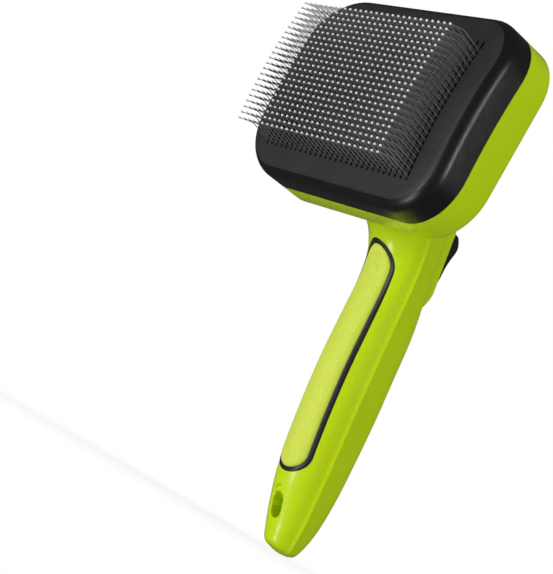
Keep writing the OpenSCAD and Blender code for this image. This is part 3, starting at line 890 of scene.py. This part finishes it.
def close_tip(rings):
    """Adds shrinking rings round the parting line's middle, which end the tip in a shallow dome."""
    last = rings[-1]
    centre = last[0] * [0, 1, 1]
    for share in (0.85, 0.7, 0.5, 0.3, 0.12):
        ring = centre + (last - centre) * share
        rings.append(ring - [0, 0, TIP_LIFT * (1 - share**2)])
    return rings


def hang_cutter():
    ring = oblong(HANG_W / 2, HANG_Z - HANG_REACH, HANG_Z + HANG_REACH, 32)
    return mesh_object("cutter", *loft([at_depth(ring, y) for y in (30, 90)]))


def thumb(points):
    """Thumb-frame points (x, outward, up the handle) in the design frame."""
    p = np.asarray(points, float)
    c, s = math.cos(THUMB_TILT), math.sin(THUMB_TILT)
    return np.column_stack([
        p[:, 0], THUMB_ORIGIN[0] + p[:, 1] * c - p[:, 2] * s, THUMB_ORIGIN[1] + p[:, 1] * s + p[:, 2] * c])


def prism(profile, half_w):
    """Solid with a side profile [outward, up] in the thumb frame, as points and faces."""
    points, faces = extrude(profile, -half_w, half_w)
    return thumb(points), faces


def room_cutter():
    """The room that the housing takes in the back shell and the grip."""
    profile = [[-16, HOUSING_TOP], [12, HOUSING_TOP], [12, HOUSING_TAIL], [-6.2, HOUSING_TAIL],
               [-6.2, HOUSING_LOW], [-16, HOUSING_LOW]]
    return mesh_object("cutter", *prism(profile, HOUSING_HALF_W - 0.4))


def screw_seat(z):
    return SCREW_SEAT - SCREW_SLOPE * (z - SCREW_Z[0])


def build_handle():
    front = mesh_object("handle_front", *loft(close_tip(shell_rings(True))))
    dimple = mesh_object("cutter", *rod([0, 40, DIMPLE_Z], [0, DIMPLE_FLOOR, DIMPLE_Z], DIMPLE_R, 40))
    cut(front, hang_cutter(), dimple)
    posts, wells = [], []
    for z in SCREW_Z:
        ends = [[0, screw_seat(z) - before, z] for before in SCREW_POST]
        posts.append(mesh_object("post", *rod(*ends, SCREW_POST_R)))
        wells.append(mesh_object("cutter", *rod([0, screw_seat(z), z], [0, 90, z], SCREW_WELL_R)))
    join(front, *posts)
    dress(front, LIME, replaces=["handle_front_shell"], sharp=38)
    back = mesh_object("handle_back", *loft(close_tip(shell_rings(False))))
    cut(back, hang_cutter(), room_cutter(), *wells)
    dress(back, LIME, replaces=["handle_back_shell"], sharp=38)


# ---------- front grip ----------


def grip_ring(inset, height):
    """Ring on the handle's front, inside the front grip's outline by an inset and raised by height."""
    contour = oblong(INLAY_HALF - inset, INLAY_LOW + INLAY_HALF, INLAY_TOP - INLAY_HALF,
                     INLAY_ARC, INLAY_SIDE)
    return np.array([on_skin(x, z, 1, height) for x, z in contour])


def build_front_grip():
    crown, low, foot, soft, gap = 0.26, -0.9, -0.1, 0.65, 0.02
    profile = [[gap, low], [gap, foot]]
    for a in np.linspace(0, math.pi / 2, 6):
        profile.append([gap + soft * (1 - math.cos(a)), foot + (crown - foot) * math.sin(a)])
    for a in np.linspace(math.pi / 2, 0, 6):
        profile.append([BORDER - soft * (1 - math.cos(a)), (crown - 0.05) * math.sin(a) - 0.05])
    profile.append([BORDER, low])
    rings = [grip_ring(*place) for place in profile]
    band = mesh_object("front_grip_rim", np.concatenate(rings), ring_walls(rings, closed=True)[1])
    dress(band, GRIP_GLOSS, replaces=["front_grip_border"], sharp=60)
    insets = [BORDER + d for d in (-0.1, -0.1, 0.15, 0.4, 0.8, 1.6, 2.8, 4.2)]
    insets += [INLAY_HALF - 0.6, INLAY_HALF - 0.01]
    heights = [low, foot, 0.24, 0.45, 0.62, 0.8, 0.92, 1.0, 1.04, 1.05]
    rings = [grip_ring(*place) for place in zip(insets, heights)]
    points, faces = loft(rings)
    faces = close_oblong(faces, len(rings[0]), len(rings))
    pad = mesh_object("front_grip_soft_pad", points, faces, merge=0.03)
    dress(pad, GRIP_LIME, replaces=["front_grip_pad"], sharp=60)


def close_oblong(faces, n, rings):
    """Swaps an oblong loft's last cap for strips between its two long sides."""
    shift = (rings - 1) * n
    side_end = 2 * INLAY_ARC + INLAY_SIDE
    down = [shift + INLAY_ARC - 1 + k for k in range(INLAY_SIDE + 2)]
    up = [shift + (side_end + INLAY_SIDE - 1 - k) % n for k in range(INLAY_SIDE)]
    up = [shift, *up, shift + side_end - 1]
    strips = [(down[k], down[k + 1], up[k + 1], up[k]) for k in range(INLAY_SIDE + 1)]
    return faces[:-1] + strips


# ---------- back grip ----------


def grip_rows(spacing=0.8):
    """Points of the back grip's right edge at equal distances, with their inward directions."""
    line = smooth_line([GRIP_EDGE[1] * [-1, 1], *GRIP_EDGE, GRIP_EDGE[-2] * [-1, 1]], 16)
    edge = resample(line, int(lengths(line)[-1] / spacing) + 1)
    along = np.gradient(edge, axis=0)
    along /= np.linalg.norm(along, axis=1)[:, None]
    inward = np.column_stack([along[:, 1], -along[:, 0]])
    inward[0], inward[-1] = (0, -1), (0, 1)
    return edge, inward


def grip_sheet(rows, insets, across, height, low):
    """Closed solid over part of the back grip.

    rows are [edge point, inward direction] pairs, insets the distances in from the edge at which it has
    lines of points, across the number of spans between the innermost two, and height(x, z, inset) its
    height over the handle's surface.
    """
    top, bottom = [], []
    for edge, inward in rows:
        right = [[*(edge + inward * e), e] for e in insets]
        line = [[-x, z, e] for x, z, e in right]
        half, inner_z, inner = right[-1]
        line += [[half * (2 * k / across - 1), inner_z, inner + 5] for k in range(1, across)]
        line += right[::-1]
        top.append([on_skin(x, z, -1, height(x, z, e)) for x, z, e in line])
        bottom.append([on_skin(x, z, -1, low) for x, z, _ in line])
    return slab(np.array(top), np.array(bottom))


# piping: its inset, half width and height; then the heights of the margin and the pads, the rounding of
# the pads' edges, and the dots' spacing, radius and height
PIPING_AT, PIPING_HALF, PIPING_HIGH = 1.15, 0.42, 0.5
MARGIN_HIGH, PAD_HIGH = 0.22, 1.0
PAD_ROUND, DOT_PITCH, DOT_R, DOT_HIGH = 0.7, 0.95, 0.30, 0.22


def frame_height(x, z, inset):
    """Margin, piping and the plain ground inside it."""
    base = MARGIN_HIGH - round_drop(inset, 0.3) * 0.7
    across = (inset - PIPING_AT) / PIPING_HALF
    return base + PIPING_HIGH * math.sqrt(max(0.0, 1 - across * across))


def build_grip_frame():
    rows = list(zip(*grip_rows()))
    turns = np.cos(np.linspace(math.pi, 0, 9))
    insets = [0.0, 0.1, 0.3, 0.6, *(PIPING_AT + PIPING_HALF * turns), 1.75, 2.4, 3.3]
    points, faces = grip_sheet(rows, insets, 8, frame_height, -1.1)
    sheet = mesh_object("back_grip_rim", points, faces, merge=0.004)
    cut(sheet, room_cutter())
    dress(sheet, GRIP_GLOSS, replaces=["back_grip_frame"], sharp=50)


def dome(radius, height, sides=8):
    """Low dome with its skirt below the surface, pointing along +Y, as points and faces."""
    turn = circle(sides)
    ring = radius * np.column_stack([np.cos(turn), np.sin(turn)])
    sections = ((1.0, -0.15), (1.0, 0.0), (0.8, 0.6), (0.42, 0.93))
    return loft([at_depth(ring * share, up * height) for share, up in sections])


def raised_dots(rows, z_range):
    """Places and outward directions of the dots on a textured pad, in staggered rows."""
    edge = np.array([e for e, _ in rows])
    places, normals = [], []
    z = z_range[0] + 1.0
    shift = 0
    while z < z_range[1] - 0.9:
        half = np.interp(-z, -edge[:, 1], edge[:, 0]) - GRIP_RIM - 0.75
        count = int(half // DOT_PITCH)
        for k in range(-count, count + 1):
            x = (k + shift / 2) * DOT_PITCH
            if abs(x) < half:
                places.append(on_skin(x, z, -1, PAD_HIGH))
                normals.append(places[-1] - on_skin(x, z, -1, 0))
        z += DOT_PITCH * 0.866
        shift = 1 - shift
    return places, normals


def build_pad(name, node, z_low, z_high):
    rows = [(e, n) for e, n in zip(*grip_rows()) if z_low <= e[1] <= z_high]
    ends = (max(z_low, GRIP_EDGE[-1, 1]), min(z_high, GRIP_EDGE[0, 1]))
    cut_ends = [z for z in (z_low, z_high) if GRIP_EDGE[-1, 1] < z < GRIP_EDGE[0, 1]]

    def height(x, z, inset):
        near = min([inset - GRIP_RIM] + [0.7 * abs(z - end) for end in cut_ends])
        return 0.05 + PAD_HIGH - round_drop(near, PAD_ROUND) * (PAD_HIGH - 0.1) / PAD_ROUND

    for end in cut_ends:
        inward_z = 1 if end == z_low else -1
        rows += [interpolated_row(rows, end + inward_z * step) for step in (0.02, 0.3, 0.7, 1.2)]
    rows.sort(key=lambda row: -row[0][1])
    insets = [GRIP_RIM + d for d in (0.02, 0.12, 0.28, 0.5, 0.75, 1.3)]
    pad = mesh_object(name, *grip_sheet(rows, insets, 10, height, -0.8), merge=0.004)
    dot, faces = dome(DOT_R, DOT_HIGH)
    dots = []
    for place, normal in zip(*raised_dots(rows, ends)):
        turn = np.array(Vector((0, 1, 0)).rotation_difference(Vector(normal)).to_matrix())
        dots.append(dot @ turn.T + place)
    join(pad, mesh_object("dots", *copies(dots, faces)))
    dress(pad, GRIP_TEXTURE, replaces=[node], sharp=50)


def interpolated_row(rows, z):
    """The row of the grip's right edge at height z."""
    edge = np.array([e for e, _ in rows])
    inward = np.array([n for _, n in rows])
    order = np.argsort(edge[:, 1])
    at = [np.interp(z, edge[order, 1], v[order]) for v in (edge[:, 0], inward[:, 0], inward[:, 1])]
    return np.array([at[0], z]), np.array([at[1], at[2]])


# ---------- housing and button ----------


def build_housing():
    profile = [[-8.5, HOUSING_TOP], [0.0, HOUSING_TOP], [0.0, -12.8], [-0.7, -15.4], [-2.1, -18.0],
               [-4.2, -20.2], [-6.2, HOUSING_TAIL], [-8.5, HOUSING_TAIL]]
    housing = mesh_object("button_housing_block", *prism(profile, HOUSING_HALF_W))
    apply_modifier(housing, "BEVEL", width=1.25 * MM, segments=5, limit_method="ANGLE",
                   angle_limit=math.radians(20), use_clamp_overlap=True)
    size = (BUTTON_HALF_W + WELL_GAP, BUTTON_HALF_L + WELL_GAP, WELL_CORNER)
    levels = rounded_levels(*size[1:], 5, [])
    flare = WELL_MOUTH + 0.1
    rings = []
    for out, grow in ((-20, 0), (-WELL_MOUTH, 0), (0.1, flare), (6, flare)):
        rings.append(thumb(at_depth(outline(levels, *size, -grow), out)))
    cut(housing, mesh_object("cutter", *loft(rings)))
    dress(housing, LIME, replaces=["button_housing"], sharp=35)


# the button's side profile from its lower end to its upper end: height over the housing, place up it
BUTTON_WAVE = np.array([[0.9, -9.4], [2.0, -8.2], [2.4, -6.6], [2.65, -5.0], [3.1, -2.4], [4.1, 0.8],
                        [5.1, 3.2], [5.35, 4.7], [5.1, 6.2], [4.4, 7.7], [3.8, 8.7], [3.2, 9.4]])


def wave_height(up):
    """Height of the button over the housing's face, smooth along its length."""
    wave = BUTTON_WAVE
    line = smooth_line([2 * wave[0] - wave[1], *wave, 2 * wave[-1] - wave[-2]], 8)
    return np.interp(up, line[:, 1], line[:, 0])


def build_button():
    corner, soft, under = 1.3, 1.2, -3.0
    levels = rounded_levels(BUTTON_HALF_L, corner, 6, np.linspace(-7.6, 7.6, 26))
    size = (BUTTON_HALF_W, BUTTON_HALF_L, corner)
    rings = [thumb(at_depth(outline(levels, *size, 0), under))]
    for inset in (0.0, 0.06, 0.18, 0.36, 0.6, 0.9, 1.2, 2.2, 3.4, 4.6):
        outer = min(inset, corner - 0.05)
        ring = outline(levels, *size, outer)
        ring[:, 0] *= (BUTTON_HALF_W - inset) / (BUTTON_HALF_W - outer)
        rings.append(thumb(at_depth(ring, wave_height(ring[:, 1]) - round_drop(inset, soft))))
    points, faces = loft(rings)
    n = len(rings[0])
    start = (len(rings) - 1) * n
    end = start + n - 1
    strips = [(end - i, start + i, start + i + 1, end - i - 1) for i in range(n // 2 - 1)]
    button = mesh_object("thumb_button", points, faces[:-1] + strips)
    ends = thumb([[0, STEM_IN, STEM_Z], [0, under + 0.5, STEM_Z]])
    join(button, mesh_object("stem", *rod(*ends, STEM_R)))
    dress(button, BUTTON_GREY, "button", ["push_button"], 40)


# ---------- springs ----------


def coil(r, wire, length, turns):
    """Compression spring wound round +Y from y = 0, with close end turns, as points and faces."""
    per_turn, sides, closed = 40, 12, 0.8
    turn = np.linspace(0, turns, turns * per_turn + 1)
    rise = np.interp(turn, [0, closed, turns - closed, turns],
                     [0, closed * wire, length - (1 + closed) * wire, length - wire])
    section = circle(sides)
    reach = r + wire / 2 * np.cos(section)
    rings = []
    for angle, y in zip(2 * math.pi * turn, rise + wire / 2):
        ring = np.column_stack([reach * math.cos(angle), reach * math.sin(angle)])
        rings.append(at_depth(ring, y + wire / 2 * np.sin(section)))
    return loft(rings)


def build_carrier_springs():
    low, high = SPRING_Y
    length = high - low
    points, faces = coil(SPRING_R, SPRING_WIRE, length, SPRING_TURNS)
    places = [[sx * GUIDE_X, low, sz * GUIDE_Z] for sx in (-1, 1) for sz in (-1, 1)]
    springs = mesh_object("carrier_coils", *copies([points + place for place in places], faces))
    dress(springs, SPRING_STEEL, replaces=["carrier_springs"], sharp=50)
    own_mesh(springs)


def build_button_spring():
    low, high = BUTTON_SPRING_OUT
    length = high - low
    points, faces = coil(BUTTON_SPRING_R, BUTTON_SPRING_WIRE, length, BUTTON_SPRING_TURNS)
    spring = mesh_object("button_coil", thumb(points + [0, low, STEM_Z]), faces)
    dress(spring, SPRING_STEEL, replaces=["button_spring"], sharp=50)
    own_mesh(spring)


# ---------- carried-over CAD nodes ----------


def paint_nodes():
    finishes = {
        "pin_cushion": CUSHION_SLOT_SHADE, "pin_carrier": CARRIER, "rocker_lever": ROCKER,
        "lever_pin": SPRING_STEEL, "neck_screws": SCREW_STEEL, "handle_screws": SCREW_STEEL,
    }
    for node, material in finishes.items():
        smooth(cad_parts[node].data, 35, material)


# ---------- studio ----------

BACKGROUND = (1.0, 1.0, 1.0)
FILL, GLINT = 0.34, 0.06
# the floor's size and its gap under the tip in metres, then the distances from the middle over which it
# fades into the background, and the background's share at the middle
FLOOR_RADIUS, FLOOR_GAP = 6.0, 0.0002
FADE_FROM_TO, FADE_LEAST = (0.02, 0.2), 0.86


def build_world():
    """Even white studio: what the camera sees, the fill that lights, and a dimmer room to reflect."""
    world = bpy.data.worlds.new("studio")
    bpy.context.scene.world = world
    bpy.context.scene.view_settings.view_transform = "Standard"
    world.use_nodes = True
    tree = world.node_tree
    shader = tree.nodes["Background"]
    shader.inputs["Color"].default_value = (*BACKGROUND, 1)
    path = tree.nodes.new("ShaderNodeLightPath")
    level = add_node(tree, "ShaderNodeMix", A=FILL, B=GLINT)
    tree.links.new(path.outputs["Is Glossy Ray"], level.inputs["Factor"])
    seen = add_node(tree, "ShaderNodeMix", B=BACKGROUND[0])
    tree.links.new(path.outputs["Is Camera Ray"], seen.inputs["Factor"])
    tree.links.new(level.outputs["Result"], seen.inputs["A"])
    tree.links.new(seen.outputs["Result"], shader.inputs["Strength"])


def build_floor():
    """Pale floor under the tip, seen only by the camera, that fades into the backdrop's brightness."""
    bm = bmesh.new()
    bmesh.ops.create_circle(bm, cap_ends=True, segments=96, radius=FLOOR_RADIUS)
    mesh = bpy.data.meshes.new("floor")
    bm.to_mesh(mesh)
    bm.free()
    floor = add_object("floor", mesh)
    floor.location.z = cad_lo.z - FLOOR_GAP
    floor.visible_shadow = False
    floor.visible_glossy = False
    floor.visible_diffuse = False
    s = Shader("floor", Roughness=0.7, Specular_IOR_Level=0.2)
    s.base(s.noise(30, 3), (0.3, (0.86, 0.86, 0.86)), (0.7, (0.875, 0.875, 0.875)))
    glow = s.add("ShaderNodeEmission", Color=(*BACKGROUND, 1))
    length = s.add("ShaderNodeVectorMath")
    length.operation = "LENGTH"
    s.link(s.place, length.inputs[0])
    fade = s.ranged(length.outputs["Value"], *FADE_FROM_TO, FADE_LEAST, 1.0)
    mix = s.add("ShaderNodeMixShader")
    s.link(fade, mix.inputs["Fac"])
    s.link(s.bsdf.outputs["BSDF"], mix.inputs[1])
    s.link(glow.outputs["Emission"], mix.inputs[2])
    s.link(mix.outputs["Shader"], s.tree.nodes["Material Output"].inputs["Surface"])
    mesh.materials.append(s.material)


# the camera's place in the design frame, and its axes as rows: right, down and forward
CAMERA_AT = np.array([430.65, -318.94, -137.25])
CAMERA_AXES = np.array([[0.5731, 0.6500, 0.4989], [0.2179, 0.4656, -0.8578], [-0.7899, 0.6003, 0.1252]])
FOCAL_PER_WIDTH = 1675.0 / 553.0


def build_camera():
    data = bpy.data.cameras.new("camera")
    data.sensor_fit = "HORIZONTAL"
    data.sensor_width = 36.0
    data.lens = data.sensor_width * FOCAL_PER_WIDTH
    data.clip_start = 0.01
    camera = add_object("camera", data)
    right, down, forward = CAMERA_AXES
    turn = Matrix(np.column_stack([right, -down, -forward]).tolist()).to_4x4()
    camera.matrix_world = Matrix.Translation(Vector(metres(CAMERA_AT))) @ turn.normalized()
    bpy.context.scene.camera = camera


def softbox(name, place, aim, width, height, level, diffuse=True, glossy=True, only=None):
    """Rectangular area light at a place, pointed at aim, both in the design frame.

    level is the brightness of its face; a light may be left out of what shines or of what is reflected,
    and may light one object only.
    """
    data = bpy.data.lights.new(name, "AREA")
    data.shape = "RECTANGLE"
    data.size, data.size_y = width * MM, height * MM
    data.energy = level * math.pi * data.size * data.size_y
    light = add_object(name, data)
    place, aim = Vector(metres(place)), Vector(metres(aim))
    light.location = place
    light.rotation_euler = (aim - place).to_track_quat("-Z", "Y").to_euler()
    light.visible_diffuse = diffuse
    light.visible_glossy = glossy
    if only:
        receivers = bpy.data.collections.new(name)
        receivers.objects.link(only)
        light.light_linking.receiver_collection = receivers


def build_lights(cover):
    middle = (0, 30, -50)
    softbox("key", (-96, -750, -250), middle, 700, 700, 3.2, glossy=False)
    softbox("key_shine", (-60, -740, -230), middle, 160, 620, 6.0, diffuse=False)
    softbox("neck_shine", (-40, -300, -520), (5, 33, -37), 130, 130, 8.0, diffuse=False)
    softbox("side", (800, -60, 200), middle, 500, 700, 1.8, glossy=False)
    softbox("back", (-300, 800, 300), middle, 700, 700, 0.7, glossy=False)
    softbox("top", (100, 100, 800), middle, 700, 500, 0.8, glossy=False)
    softbox("cover_band", (655, 150, 65), (50, 0, 0), 150, 420, 6.0, diffuse=False, only=cover)


front_cover = build_cover()
build_tray()
build_pins()
build_handle()
build_front_grip()
build_grip_frame()
build_pad("back_grip_upper_pad", "back_grip_upper", *UPPER_PAD)
build_pad("back_grip_lower_pad", "back_grip_lower", *LOWER_PAD)
build_housing()
build_button()
build_carrier_springs()
build_button_spring()
paint_nodes()
build_world()
build_floor()
build_camera()
build_lights(front_cover)
